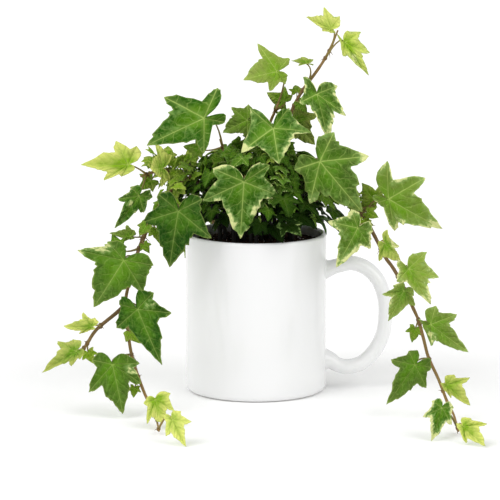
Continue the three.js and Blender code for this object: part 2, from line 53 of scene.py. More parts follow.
FOOT_PROFILE = [(0, 1.4), (31, 1.4), (33.4, 0.9), (34.6, 0), (37.2, 0), (39.2, 0.35), (40.5, 1.5), (41, 3.6)]
HANDLE_LINE = [
    (38.4, 70.8), (42.5, 71.3), (47.5, 72.8), (56, 74.3), (65, 70.8), (71.6, 63.2), (75, 53), (75.4, 42),
    (73.8, 31.5), (69.2, 22.3), (62, 15.2), (54, 12.9), (48, 13.9), (43.5, 16.4), (38.4, 17.4),
]
HANDLE_HALF_DEPTH = 4.2
HANDLE_HALF_WIDTH = 6.5
HANDLE_ROOT_DEEPER = 0.85
HANDLE_ROOT_WIDER = 0.35
HANDLE_ROOT_REACH = 0.135
HANDLE_SIDES = 32


def colour(code):
    """An sRGB hex value as a linear colour."""
    parts = [int(code[i:i + 2], 16) / 255 for i in (1, 3, 5)]
    return tuple(p / 12.92 if p <= 0.04045 else ((p + 0.055) / 1.055) ** 2.4 for p in parts) + (1,)


def feed(node, *ordered, **named):
    """Sets a node's inputs, in order or by name, each to a value or to another node's output. A name in
    small letters is a setting of the node instead."""
    for key, value in [*named.items(), *enumerate(ordered)]:
        if isinstance(key, str) and key.islower():
            setattr(node, key, value)
            continue
        socket = node.inputs[key.replace("_", " ") if isinstance(key, str) else key]
        if isinstance(value, bpy.types.NodeSocket):
            node.id_data.links.new(value, socket)
        else:
            socket.default_value = value


def add_node(tree, kind, *ordered, out=0, **named):
    """A new node, such as "Math SINE", with its inputs. It gives one output, or all where out is None."""
    kind, _, operation = kind.partition(" ")
    node = tree.nodes.new("ShaderNode" + kind)
    if operation:
        node.operation = operation
    feed(node, *ordered, **named)
    return node.outputs if out is None else node.outputs[out]


def new_material(name):
    """A material, its shader, and what adds a node to it."""
    material = bpy.data.materials.new(name)
    material.use_nodes = True
    tree = material.node_tree
    return material, tree.nodes["Principled BSDF"], functools.partial(add_node, tree)


def smooth_line(points, steps):
    """Points on a smooth line through the given ones, with so many steps between two of them."""
    line = []
    for i in range(len(points) - 1):
        b, c = points[i], points[i + 1]
        a = points[i - 1] if i else b * 2 - c
        d = points[i + 2] if i + 2 < len(points) else c * 2 - b
        for k in range(steps):
            t = k / steps
            line.append((b * 2 + (c - a) * t + (a * 2 - b * 5 + c * 4 - d) * t ** 2
                         + (b * 3 - a - c * 3 + d) * t ** 3) / 2)
    return line + [points[-1]]


def grow(bm, edges):
    """Extrudes a row of edges. It gives the new corners and the new edges between them."""
    grown = bmesh.ops.extrude_edge_only(bm, edges=edges)["geom"]
    corners = [g for g in grown if isinstance(g, bmesh.types.BMVert)]
    fresh = set(corners)
    return corners, [g for g in grown if isinstance(g, bmesh.types.BMEdge) and fresh.issuperset(g.verts)]


def sweep(bm, line, sides, half_sizes, across):
    """A closed tube along a line in millimetres. Its two half widths are given for each share of the line."""
    last = len(line) - 1
    for i, middle in enumerate(line):
        along = (line[min(i + 1, last)] - line[max(i - 1, 0)]).normalized()
        across = (across - along * across.dot(along)).normalized()
        wide, deep = half_sizes(i / last)
        place = Matrix((across * wide * MM, along.cross(across) * deep * MM, along)).transposed().to_4x4()
        place.translation = middle * MM
        if i == 0:
            made = bmesh.ops.create_circle(bm, cap_ends=True, segments=sides, radius=1, matrix=place)
            edges = list({e for v in made["verts"] for e in v.link_edges})
        else:
            verts, edges = grow(bm, edges)
            bmesh.ops.transform(bm, matrix=place @ before.inverted(), verts=verts)
        before = place
    bmesh.ops.contextual_create(bm, geom=edges)


def closed_mesh(name, bm):
    mesh = bpy.data.meshes.new(name)
    bm.to_mesh(mesh)
    bm.free()
    return mesh


def add_object(name, data):
    made = bpy.data.objects.new(name, data)
    bpy.context.scene.collection.objects.link(made)
    return made


def put(name, bm, materials, nodes=()):
    """A finished piece: its mesh at the origin, smooth, on the one body."""
    for face in bm.faces:
        face.smooth = True
    piece = add_object(name, closed_mesh(name, bm))
    for material in materials:
        piece.data.materials.append(material)
    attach(piece, "root")
    if nodes:
        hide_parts(*nodes)
    return piece


def white_glaze():
    """White stoneware under a clear gloss glaze: almost flat white, a faint ripple of the glaze that
    softens its reflections, and the bare, matt, slightly warm body on the foot ring."""
    material, shader, node = new_material("white_glazed_stoneware")
    place = node("TexCoord", out="Object")
    bare = node("MapRange", node("SeparateXYZ", place, out="Z"), 0.0004, 0.0002)
    drift = node("TexNoise", Vector=place, Scale=25, Detail=2)
    white = node("MixRGB", drift, colour("#ebebec"), colour("#eeeeee"))
    ripple = node("TexNoise", Vector=place, Scale=180, Detail=1)
    feed(shader, IOR=1.52, Base_Color=node("MixRGB", bare, white, colour("#d8d2c6")),
         Roughness=node("MapRange", Value=bare, To_Min=0.14, To_Max=0.8),
         Normal=node("Bump", Height=ripple, Strength=0.05, Distance=0.0006))
    return material


def mug():
    bm = bmesh.new()
    inside = MUG_RADIUS - MUG_WALL
    profile = list(FOOT_PROFILE)
    profile += [(MUG_RADIUS, z) for z in WALL_RINGS]
    for i in range(RIM_STEPS + 1):
        turn = math.pi * i / RIM_STEPS
        profile.append((MUG_RADIUS - MUG_WALL / 2 * (1 - math.cos(turn)),
                        MUG_HEIGHT - MUG_WALL / 2 * (1 - math.sin(turn))))
    profile += [(inside, 60), (inside, MUG_FLOOR + 4), (inside - 1.2, MUG_FLOOR + 1.2)]
    profile += [(inside - 4, MUG_FLOOR), (0, MUG_FLOOR)]
    verts = [bm.verts.new((r * MM, 0, z * MM)) for r, z in profile]
    edges = [bm.edges.new(pair) for pair in zip(verts, verts[1:])]
    bmesh.ops.spin(bm, geom=verts + edges, cent=(0, 0, 0), axis=(0, 0, 1), angle=2 * math.pi, steps=MUG_STEPS,
                   use_merge=True)
    bmesh.ops.remove_doubles(bm, verts=bm.verts, dist=1e-6)
    bmesh.ops.recalc_face_normals(bm, faces=bm.faces)

    def half_sizes(share):
        near = max(0, 1 - min(share, 1 - share) / HANDLE_ROOT_REACH) ** 2
        wider, deeper = 1 + HANDLE_ROOT_WIDER * near, 1 + HANDLE_ROOT_DEEPER * near
        return HANDLE_HALF_WIDTH * wider, HANDLE_HALF_DEPTH * deeper

    line = smooth_line([Vector((x, 0, z)) for x, z in HANDLE_LINE], 8)
    sweep(bm, line, HANDLE_SIDES, half_sizes, Vector((0, 1, 0)))
    bmesh.ops.recalc_face_normals(bm, faces=bm.faces)
    return put("mug_glazed", bm, [white_glaze()], ["mug"])


mug()


# The potting compost: dark peat and bark, pressed into the mug to a little below the rim, slightly
# heaped in the middle, with loose crumbs and white grains of perlite on it.
SOIL_RADIUS = 37.7
SOIL_LEVEL = 87
SOIL_CROWN = 2
SOIL_BOTTOM = 5.3
SOIL_RAYS = 120
SOIL_RINGS = 36
SOIL_LUMPS = 0.9
SOIL_CRUMBS = 900
CRUMBS_TO_A_GRAIN = 6
SOIL_SEED = 41


def random_from(seed):
    """Repeatable random numbers from 0 to 1."""
    state = seed
    while True:
        state = state * 16807 % 2147483647
        yield state / 2147483647


def round_sheet(rays, rings):
    """A flat round sheet as a template: ring number k has the radius k, and ray 0 points to -Y."""
    bm = bmesh.new()
    bmesh.ops.create_circle(bm, cap_ends=True, cap_tris=True, segments=rays, radius=1)
    edges = [e for e in bm.edges if e.is_boundary]
    for k in range(2, rings + 1):
        verts, edges = grow(bm, edges)
        bmesh.ops.scale(bm, vec=(k / (k - 1),) * 3, verts=verts)
    bmesh.ops.recalc_face_normals(bm, faces=bm.faces)
    return bm


def soil_height(x, y):
    """The height of the soil's surface, with its crumbly unevenness."""
    share = min(1, math.hypot(x, y) / SOIL_RADIUS)
    lumps = noise.fractal(Vector((x, y, 0)) * 0.35, 0.6, 2.1, 4)
    return SOIL_LEVEL + SOIL_CROWN * (1 - share ** 2) + SOIL_LUMPS * lumps * (1 - share ** 8) - 0.2


def peat():
    """Damp peat and shredded bark: near black brown, matt, grainy at about 1 mm."""
    material, shader, node = new_material("damp_peat_compost")
    place = node("TexCoord", out="Object")
    grain = node("TexNoise", Vector=place, Scale=900, Detail=4)
    mixed = node("Math MULTIPLY", grain, node("TexVoronoi", Vector=place, Scale=450))
    share = node("MapRange", mixed, 0.08, 0.42)
    feed(shader, Base_Color=node("MixRGB", share, colour("#170e09"), colour("#54392a")),
         Normal=node("Bump", Height=mixed, Strength=0.9, Distance=0.0012),
         Roughness=0.95, Specular_IOR_Level=0.2)
    return material


def perlite():
    """Expanded volcanic glass: white, chalky and pitted."""
    material, shader, node = new_material("perlite_grains")
    pits = node("TexNoise", Vector=node("TexCoord", out="Object"), Scale=2500, Detail=2)
    feed(shader, Base_Color=node("MixRGB", pits, colour("#9c948a"), colour("#e6e1d8")), Roughness=0.9)
    return material


def soil():
    bm = round_sheet(SOIL_RAYS, SOIL_RINGS)
    edges = [e for e in bm.edges if e.is_boundary]
    for vert in bm.verts:
        x, y = vert.co.x * SOIL_RADIUS / SOIL_RINGS, vert.co.y * SOIL_RADIUS / SOIL_RINGS
        vert.co = Vector((x, y, soil_height(x, y))) * MM
    for radius, height in ((SOIL_RADIUS, SOIL_BOTTOM + 4), (SOIL_RADIUS - 4, SOIL_BOTTOM)):
        verts, edges = grow(bm, edges)
        for vert in verts:
            flat = vert.co.xy.normalized() * radius
            vert.co = Vector((flat.x, flat.y, height)) * MM
    bmesh.ops.contextual_create(bm, geom=edges)
    bmesh.ops.recalc_face_normals(bm, faces=bm.faces)
    put("soil_surface", bm, [peat()], ["soil"])

    crumbs = bmesh.new()
    draw = random_from(SOIL_SEED)
    for number in range(SOIL_CRUMBS):
        reach, turn = (SOIL_RADIUS - 1.5) * math.sqrt(next(draw)), 2 * math.pi * next(draw)
        white = number % CRUMBS_TO_A_GRAIN == 0
        size = 0.4 + (0.55 if white else 0.75) * next(draw) ** 2
        x, y = reach * math.cos(turn), reach * math.sin(turn)
        place = Matrix.Translation(Vector((x, y, soil_height(x, y) + size * 0.4)) * MM)
        place @= Matrix.Rotation(7 * next(draw), 4, Vector((next(draw), next(draw), 1)).normalized())
        place @= Matrix.Diagonal((1, 0.6 + 0.4 * next(draw), 0.5 + 0.4 * next(draw), 1))
        made = bmesh.ops.create_icosphere(crumbs, subdivisions=1, radius=size * MM, matrix=place)["verts"]
        for face in {f for v in made for f in v.link_faces}:
            face.material_index = int(white)
    put("soil_crumbs", crumbs, [peat(), perlite()])


soil()


# An ivy leaf: a thin waxy blade of five lobes that droop toward their tips, on a thin petiole that
# leaves it in the notch. The five main veins run from there to the tips of the lobes, and the blade
# stands up a little between them. A leaf is laid out by its joint, its five tips and its facing.
LOBE_ANGLES = (0, 64, 118)
LOBE_LENGTHS = (1, 0.74, 0.56)
VEIN_GAPS = ((0, 64), (64, 118), (118, 181))
BLADE_THICKNESS = 0.35
BLADE_DROOP = 0.1
BLADE_FOLD = 0.06
BLADE_WAVE = 0.025
SMALL_BLADE_WAVE = 0.07
WAVE_PACE = 0.55
BLADE_TEETH = 0.14
TEETH_PACES = ((0.83, 0), (0.31, 5))
TEETH_SEED_STEP = 9.1
PLAIN_LOOK = (0, 0, 1, ())
SMALL_EDGE = 0.55
FINE_RINGS = (0.16, 0.34, 0.52, 0.7, 0.85, 0.95, 1)
SMALL_RINGS = (0.5, 1)
# Half of the outline from the middle tip to the notch, in stretches that end at a tip or at a cleft.
# A point is a mix of the vectors from the joint to the middle tip, the side tip and the basal tip.
# The cleft between the side lobe and the basal lobe is deeper in some leaves.
CLEFT = Vector((0, 0.26, 0.52))
HALF_OUTLINE = [
    [(1, 0, 0), (0.81, 0.145, 0), (0.55, 0.33, 0), (0.3, 0.47, 0), (0.15, 0.53, 0)],
    [(0.15, 0.53, 0), (0.095, 0.79, 0), (0, 1, 0)],
    [(0, 1, 0), (0, 0.74, 0.2), CLEFT],
    [CLEFT, (0, 0.1, 0.8), (0, 0, 1)],
    [(0, 0, 1), (-0.08, 0, 0.82), (-0.19, 0, 0.48), (-0.15, 0, 0.18), (-0.04, 0, 0.01)],
]


def template_point(mix):
    """Where a mix of the three vectors lies on a regular leaf, with the middle tip at (0, 1)."""
    x = y = 0
    for share, angle, length in zip(mix, LOBE_ANGLES, LOBE_LENGTHS):
        x += share * length * math.sin(math.radians(angle))
        y += share * length * math.cos(math.radians(angle))
    return x, y


@functools.cache
def blade_template(steps, ring_shares, cleft):
    """The round sheet of a blade, and for each of its rays the mix, the point on a regular leaf and how
    far up between two veins it lies. Ray 0 is at the notch, and the first half has the first side tip."""
    half = []
    for stretch in HALF_OUTLINE:
        mixes = [mix * cleft if mix is CLEFT else Vector(mix) for mix in stretch]
        half += smooth_line(mixes, steps)[:-1]
    half.append(Vector(HALF_OUTLINE[-1][-1]))
    rays = []
    for side, mixes in ((1, half[::-1]), (-1, half[1:-1])):
        for mix in mixes:
            x, y = template_point(mix)
            angle = math.degrees(math.atan2(x, y))
            low, high = next(gap for gap in VEIN_GAPS if angle <= gap[1])
            inner = (angle - low) / (high - low)
            rays.append((side, mix, (side * x, y), 4 * inner * (1 - inner)))
    bm = round_sheet(len(rays), len(ring_shares))
    return closed_mesh("blade_template", bm), rays, ring_shares


FINE_BLADE = (3, FINE_RINGS)
SMALL_BLADE = (1, SMALL_RINGS)


def add_blade(bm, leaf, template, look, seed):
    """One blade in a piece, in its place. look is how young it is, or below 0 how deep the painted shade on
    it is, how wide its cream margin is, its cleft, and its pale patches: angle on the leaf, reach from the
    joint, size and strength."""
    youth_and_painted_shade, cream, cleft, patches = (*look, *PLAIN_LOOK[len(look):])
    sheet, rays, ring_shares = blade_template(*template, cleft)
    joint, tips, facing = leaf
    basal1, side1, middle, side2, basal2 = [tip - joint for tip in tips]
    length = middle.length
    fine = ring_shares is FINE_RINGS
    first = len(bm.verts)
    bm.from_mesh(sheet)
    bm.verts.ensure_lookup_table()
    tint = bm.verts.layers.float_color["tint"]
    spread = bm.loops.layers.uv["Leaf"]
    for vert in bm.verts[first:]:
        ring = round(vert.co.xy.length)
        ray = round((math.atan2(vert.co.y, vert.co.x) + math.pi / 2) / (2 * math.pi) * len(rays)) % len(rays)
        side, mix, (x, y), inner = rays[ray]
        share = ring_shares[ring - 1] if ring else 0
        blunt = 1 - max(mix) ** 3
        row = seed * TEETH_SEED_STEP
        uneven = sum(noise.noise(Vector((ray * pace, row, layer))) for pace, layer in TEETH_PACES)
        tooth = 1 + BLADE_TEETH * blunt * share * uneven
        lateral, basal = (side1, basal1) if side > 0 else (side2, basal2)
        offset = (middle * mix[0] + lateral * mix[1] + basal * mix[2]) * share * tooth
        rise = BLADE_FOLD * inner * min(1, 1.3 * share) - BLADE_DROOP * (offset.length / length) ** 2
        rise += (BLADE_WAVE if fine else SMALL_BLADE_WAVE) * share ** 2 * math.sin(ray * WAVE_PACE + seed)
        x, y = x * share, y * share
        for face_corner in vert.link_loops:
            face_corner[spread].uv = (x, y)
        pale = cream * share ** 3
        for angle, reach, size, strength in patches:
            turn = math.radians(angle)
            away = math.hypot(x - reach * math.sin(turn), y - reach * math.cos(turn))
            pale = max(pale, strength * (1 - (away / size) ** 2))
        tone = (seed % 1 + (cream > 0)) / 2
        vert[tint] = (youth_and_painted_shade, max(0, pale), tone, share * (1 if fine else SMALL_EDGE))
        vert.co = (joint + offset + facing * length * rise) * MM


def leaf_pattern(node):
    """What a blade's colours are mixed by, on the coordinates of a regular leaf: its own tint, its veins,
    the swelling between the side veins, and two drifts of colour."""
    spread = node("UVMap", uv_map="Leaf")
    tint = node("Attribute", attribute_name="tint", out=None)
    channel = node("SeparateColor", tint["Color"], out=None)
    # The blue channel holds the leaf's tone twice, in its upper half for the variegated leaves.
    doubled = node("Math MULTIPLY", channel["Blue"], 2)
    tone = node("Math FRACT", doubled)
    own = node("VectorMath ADD", spread, node("CombineXYZ", Z=node("Math MULTIPLY", tone, 40)))
    wobble = node("TexNoise", Vector=own, Scale=7, Detail=2)
    place = node("SeparateXYZ", spread, out=None)
    turn = node("Math ARCTAN2", node("Math ABSOLUTE", place["X"]), place["Y"])
    reach = node("VectorMath LENGTH", spread, out="Value")
    # The angle is counted from the nearest main vein: from 32 degrees on the second, from 91 the third.
    second = node("Math MULTIPLY", node("Math GREATER_THAN", turn, math.radians(32)), math.radians(64))
    third = node("Math MULTIPLY", node("Math GREATER_THAN", turn, math.radians(91)), math.radians(54))
    aside = node("Math SUBTRACT", turn, node("Math ADD", second, third))
    across = node("Math MULTIPLY", reach, node("Math SINE", aside))
    along = node("Math MULTIPLY", reach, node("Math COSINE", aside))
    waver = node("Math MULTIPLY", node("Math SUBTRACT", wobble, 0.5), 0.012)
    off = node("Math ADD", node("Math ABSOLUTE", across), waver)
    width = node("Math SUBTRACT", 0.023, node("Math MULTIPLY", along, 0.013))
    slant = node("Math SUBTRACT", along, node("Math MULTIPLY", off, 0.8))
    flip = node("Math MULTIPLY", node("Math GREATER_THAN", across, 0), 0.5)
    ladder = node("Math ADD", node("Math MULTIPLY", slant, 5.2), flip)
    ladder = node("Math ADD", ladder, node("Math MULTIPLY", wobble, 0.8))
    rung = node("Math ABSOLUTE", node("Math SUBTRACT", node("Math FRACT", ladder), 0.5))
    swell = node("Math SINE", node("Math MULTIPLY", rung, math.pi))
    net = node("TexVoronoi", feature="DISTANCE_TO_EDGE", Vector=own, Scale=13)
    return {
        "youth_and_painted_shade": channel["Red"], "cream": channel["Green"], "edge": tint["Alpha"], "tone": tone,
        "variegated": node("Math GREATER_THAN", doubled, 1),
        "main": node("MapRange", off, width, node("Math MULTIPLY", width, 0.25)),
        "halo": node("MapRange", off, 0.075, 0.01),
        "side": node("Math MULTIPLY", node("MapRange", rung, 0.085, 0.02), node("MapRange", off, 0.3, 0.05)),
        "fine": node("MapRange", net, 0.09, 0.01),
        "puff": node("Math MULTIPLY", swell, node("Math MINIMUM", node("Math MULTIPLY", off, 7), 1)),
        "drift": node("TexNoise", Vector=own, Scale=3.2, Detail=4, Roughness=0.6),
        "speck": node("TexNoise", Vector=own, Scale=12, Detail=3),
    }


def leaf_material(under):
    """Waxy ivy leaf: deep green and lime by age, pale veins, cream margins on the variegated ones, a painted
    sheen in pale speckled patches, and painted shade on blades whose tint is below 0. The underside is
    paler and matt."""
    material, shader, node = new_material("ivy_leaf_underside" if under else "ivy_leaf_upper_side")
    p = leaf_pattern(node)
    away = node("Math MULTIPLY", node("Math SUBTRACT", p["drift"], 0.5), 1.6)
    away = node("MapRange", node("Math ADD", p["edge"], away), 0.05, 0.85)
    near = node("MixRGB", p["tone"], colour("#47750f"), colour("#628f16"))
    far = node("MixRGB", p["tone"], colour("#1f470c"), colour("#31620e"))
    mature = node("MixRGB", away, near, far)
    # Painted sheen: pale grey green patches where the speck noise is high, for the blade's waxy reflections.
    mature = node("MixRGB", node("MapRange", p["speck"], 0.48, 0.72, 0, 0.4), mature, colour("#66923a"))
    veins = p["main"]
    for kind, strength in (("side", 0.5), ("fine", 0.17), ("halo", 0.25)):
        veins = node("Math MAXIMUM", veins, node("Math MULTIPLY", p[kind], strength))
    strength = node("MapRange", p["variegated"], 0, 1, 0.46, 0.8)
    mature = node("MixRGB", node("Math MULTIPLY", veins, strength), mature, colour("#acc568"))
    rim = node("MapRange", node("Math ADD", p["edge"], node("Math MULTIPLY", p["drift"], 1.3)), 0.9, 1.6)
    lime = node("MixRGB", p["tone"], colour("#6ea01a"), colour("#92b81e"))
    young = node("MixRGB", rim, lime, colour("#e3e87c"))
    young = node("MixRGB", node("Math MULTIPLY", veins, 0.4), young, colour("#dde680"))
    leaf = node("MixRGB", p["youth_and_painted_shade"], mature, young)
    leaf = node("MixRGB", node("MapRange", p["edge"], 0.94, 1, 0, 0.4), leaf, colour("#b9c970"))
    leaf = node("MixRGB", node("Math SUBTRACT", p["youth_and_painted_shade"], 1), leaf, colour("#e2ea84"))
    # Painted shade: a tint below 0 darkens the blade toward near black green, deepest low in the head.
    leaf = node("MixRGB", node("Math MULTIPLY", p["youth_and_painted_shade"], -0.9), leaf, colour("#0a1f02"))
    cream = node("Math MULTIPLY", p["cream"], node("MapRange", p["drift"], 0.35, 0.6, 0.35, 1.25))
    coarse = node("Math MINIMUM", node("Math MULTIPLY", cream, 2.2), 1.1)
    uneven = node("Math MULTIPLY", node("Math SUBTRACT", p["speck"], 0.5), coarse)
    ragged = node("Math ADD", cream, uneven)
    has = node("Math GREATER_THAN", p["cream"], 0.02)
    for low, high, strength, pale in ((0.18, 0.4, 0.55, "#8aac5c"), (0.42, 0.62, 0.9, "#dce09a")):
        share = node("Math MULTIPLY", node("MapRange", ragged, low, high, 0, strength), has)
        leaf = node("MixRGB", share, leaf, colour(pale))
    if under:
        leaf = node("MixRGB", node("MapRange", p["youth_and_painted_shade"], -0.8, 0.3, 0, 0.35), leaf, colour("#84b23e"))
    height = node("Math MULTIPLY", veins, 0.5 if under else -0.5)
    height = node("Math ADD", height, node("Math MULTIPLY", p["puff"], 1.1))
    feed(shader, Base_Color=leaf, Normal=node("Bump", Height=height, Strength=0.7, Distance=0.0009),
         Roughness=0.7 if under else 0.42, IOR=1.42, Specular_IOR_Level=0.05)
    return material


LEAF_UPPER = leaf_material(False)
LEAF_UNDER = leaf_material(True)


# Petioles: thin green to red brown stalks of living tissue. Each bends from the notch of its blade to the
# stem, which it meets with a swollen foot a little before the point nearest to the leaf.
PETIOLE_LEAD = 4
PETIOLE_BEND = 0.4
PETIOLE_DIP = 0.15
PETIOLE_RADIUS = 0.5
PETIOLE_FLARE = 0.8
PETIOLE_STEPS = 7
TINT_BEND = 1.4
HEAD_SHADE_RADIUS = 38
HEAD_SHADE_HEIGHT = 42
ROOT_DEPTH = 12
FIRST_LEAF_MARK = ROOT_DEPTH + 8


def between(pair, share):
    """The value at a share of the way from one value to another."""
    return pair[0] + (pair[1] - pair[0]) * share


def marks_on(stem):
    """A mark for every millimetre of a stem."""
    marks = []
    for a, b in zip(stem, stem[1:]):
        steps = max(1, math.ceil((b - a).length))
        marks += [a.lerp(b, k / steps) for k in range(steps)]
    return marks


def take_off(stem, target, lead=PETIOLE_LEAD):
    marks = marks_on(stem)
    nearest = min(range(len(marks)), key=lambda i: (marks[i] - target).length)
    return marks[max(FIRST_LEAF_MARK, nearest - lead)]


def add_petiole(bm, leaf, stem_point, youth_and_painted_shade, radius=PETIOLE_RADIUS, green=0.25):
    joint, tips, facing = leaf
    middle = (tips[2] - joint).normalized()
    reach = (joint - stem_point).length
    if reach < 0.5:
        return
    bend = joint - middle * PETIOLE_BEND * reach - facing * PETIOLE_DIP * reach
    line = []
    for i in range(PETIOLE_STEPS + 1):
        t = i / PETIOLE_STEPS
        line.append(joint * (1 - t) ** 2 + bend * 2 * t * (1 - t) + stem_point * t ** 2)
    first = len(bm.verts)
    sweep(bm, line, 6, lambda u: (radius * (0.85 + PETIOLE_FLARE * u ** 4),) * 2, facing.cross(middle))
    # Painted shade: a leaf's tint below 0 darkens its petiole as well.
    paint(bm, first, 0.45 + 0.4 * youth_and_painted_shade, 0.45 + 0.4 * youth_and_painted_shade, green)


def paint(bm, first, old, young, green=0):
    """The tint of the corners from a given one on: from old to young, and painted shade, near black, low in
    the head where the crown shades them.
    """
    bm.verts.ensure_lookup_table()
    tint = bm.verts.layers.float_color["tint"]
    for i, vert in enumerate(bm.verts[first:]):
        share = i / max(1, len(bm.verts) - first - 1)
        # Painted shade: stalks inside the head and near the soil are marked to go near black.
        inside = max(0, 1 - vert.co.xy.length / MM / HEAD_SHADE_RADIUS) * 4
        low = max(0, 1 - (vert.co.z / MM - SOIL_LEVEL) / HEAD_SHADE_HEIGHT) * 3
        vert[tint] = (between((old, young), share ** TINT_BEND), min(1, inside, low), green, 1)


# Stems: woody and brown where they are old, olive and thinner toward the tip, with a swollen node and a
# few short rootlets where each leaf leaves them.
STEM_RADII = (1.25, 0.8)
STEM_POINT = 0.45
STEM_UNEVEN = 0.16
STEM_SIDES = 10
STRAIGHT_FOOT = 5
NODE_SIZE = (1.45, 1.45, 1.7, 1)
ROOTLET_RADIUS = 0.34
ROOTLET_LENGTH = (2, 4.6)


def add_stem(bm, line, old, young):
    """A stem along a line, with its tint from old at the foot to young at the tip."""
    first = len(bm.verts)

    def half_sizes(share):
        radius = between(STEM_RADII, share)
        radius *= 1 - STEM_POINT * max(0, (share - 0.9) / 0.1)
        radius *= 1 + STEM_UNEVEN * noise.noise(Vector((share * len(line) * 0.45, old, young)))
        return radius, radius

    sweep(bm, line, STEM_SIDES, half_sizes, Vector((0, 1, 0)))
    paint(bm, first, old, young)


def scatter(draw, lowered=0.5):
    """A random vector of up to half a unit each way, from numbers drawn in turn."""
    return Vector((next(draw) - 0.5, next(draw) - 0.5, next(draw) - lowered))


def add_node_and_rootlets(bm, point, away, draw, share):
    """A swelling on the stem, and rootlets that point away from the leaf: fewer toward the stem's tip."""
    first = len(bm.verts)
    place = Matrix.Translation(point * MM) @ Matrix.Diagonal(NODE_SIZE)
    bmesh.ops.create_icosphere(bm, subdivisions=2, radius=between(STEM_RADII, share) * MM, matrix=place)
    for _ in range(round(4 - 2 * share)):
        aim = (away + scatter(draw) * 1.6).normalized()
        length = between(ROOTLET_LENGTH, next(draw))
        line = [point + aim * length * t + Vector((0, 0, -0.35 * length * t ** 2)) for t in (0, 0.35, 0.7, 1)]
        sweep(bm, line, 5, lambda u: (ROOTLET_RADIUS * (1.15 - u),) * 2, Vector((0, 1, 0.1)))
    paint(bm, first, 0.4 * share, 0.4 * share)


def bark():
    """Ivy stem: fine grey brown bark on old wood, olive skin with a red flush on petioles and young
    stems, streaked at about 2 mm, and painted near black with shade low in the head."""
    material, shader, node = new_material("ivy_stem_bark")
    place = node("TexCoord", out="Object")
    tint = node("SeparateColor", node("Attribute", attribute_name="tint"), out=None)
    grain = node("TexNoise", Vector=place, Scale=420, Detail=4)
    patch = node("TexNoise", Vector=place, Scale=90, Detail=2)
    old = node("MixRGB", grain, colour("#281b08"), colour("#6f4f22"))
    fresh = node("MixRGB", patch, colour("#8f7c36"), colour("#9c7440"))
    skin = node("MixRGB", tint["Red"], old, fresh)
    skin = node("MixRGB", tint["Blue"], skin, colour("#5f7d2e"))
    # Painted shade: near black where the tint marks shade low in the head.
    skin = node("MixRGB", tint["Green"], skin, colour("#150e08"))
    bump = node("Bump", Height=grain, Strength=0.5, Distance=0.0003)
    feed(shader, Base_Color=skin, Roughness=0.6, Normal=bump)
    return material


BARK = bark()


def new_mesh(leafy):
    """An empty mesh with the tint that the materials read, and for blades the leaf's own coordinates."""
    bm = bmesh.new()
    bm.verts.layers.float_color.new("tint")
    if leafy:
        bm.loops.layers.uv.new("Leaf")
    return bm


LYING_HEIGHT = 0.25


def put_shoot(name, blades, wood, nodes=(), ends=("leaves", "stem")):
    """A leafy stem as two pieces, its blades with their thickness and its wood. What would reach below the
    table lies on it instead."""
    for vert in [*blades.verts, *wood.verts]:
        vert.co.z = max(vert.co.z, LYING_HEIGHT * MM)
    piece = put(f"{name}_{ends[0]}", blades, [LEAF_UPPER, LEAF_UNDER], nodes)
    skin = piece.modifiers.new("blade", "SOLIDIFY")
    skin.thickness = BLADE_THICKNESS * MM
    skin.offset = 0
    skin.material_offset = 1
    bmesh.ops.recalc_face_normals(wood, faces=wood.faces)
    put(f"{name}_{ends[1]}", wood, [BARK], nodes)


# The stems that the viewer sees, each by its root's x and y, its points and its branch's points. A point is
# given as it looks from the front, by x and z in the plane through the mug's axis, and by how far toward
# the viewer it is brought along the line of sight.
EYE = Vector((-3.5, -1700, 372))
STEMS = {
    "vine_left": ((-18, -2), [
        (-27, 112, 4), (-36, 124, 9), (-43, 122, 14), (-50, 116, 22), (-57, 106, 29), (-63, 94, 35),
        (-68, 83, 40), (-74, 62, 47), (-76, 51, 50), (-75, 36, 54), (-73, 21, 58), (-70, 10, 62),
        (-65, -4, 72), (-59, -17, 94), (-57, -26, 122),
    ], [(-76, 51, 50), (-80, 46, 53), (-93, 35, 58), (-99, 26, 61), (-103, 21, 63)]),
    "vine_right": ((20, -1), [
        (30, 108, 4), (42, 114, 8), (51, 110, 13), (61, 104, 18), (69, 90, 28), (75, 78, 35),
        (80, 71, 40), (86, 60, 46), (91, 49, 51), (95, 40, 54), (98, 29, 58), (101, 18, 62),
        (107, 5, 70), (112, -8, 84), (116, -16, 98), (119, -26, 124),
    ]),
    "vine_upper": ((10, 4), [
        (14, 120, -2), (16, 148, 0), (20, 162, 2), (26, 174, 3), (36, 188, 3), (42, 198, 2), (47, 210, 0),
    ]),
    "shoot_left": ((-13, 8), [(-18, 112, -4), (-30, 124, -2), (-46, 128, 1), (-58, 128, 3), (-67, 125, 5)]),
    "shoot_front_left": ((-11, -11), [(-13, 115, 10), (-16, 132, 10), (-21, 147, 10)]),
    "shoot_front": ((-3, -19), [(-3, 104, 17), (-4, 116, 13), (-6, 124, 12)]),
    "shoot_middle": ((3, -6), [(5, 118, 6), (7, 136, 5), (9, 150, 8)]),
    "shoot_top": ((0, 9), [(2, 122, -10), (6, 150, -9), (13, 168, -4)]),
    "shoot_right": ((14, -13), [(17, 108, 14), (24, 122, 15), (33, 133, 15)]),
}

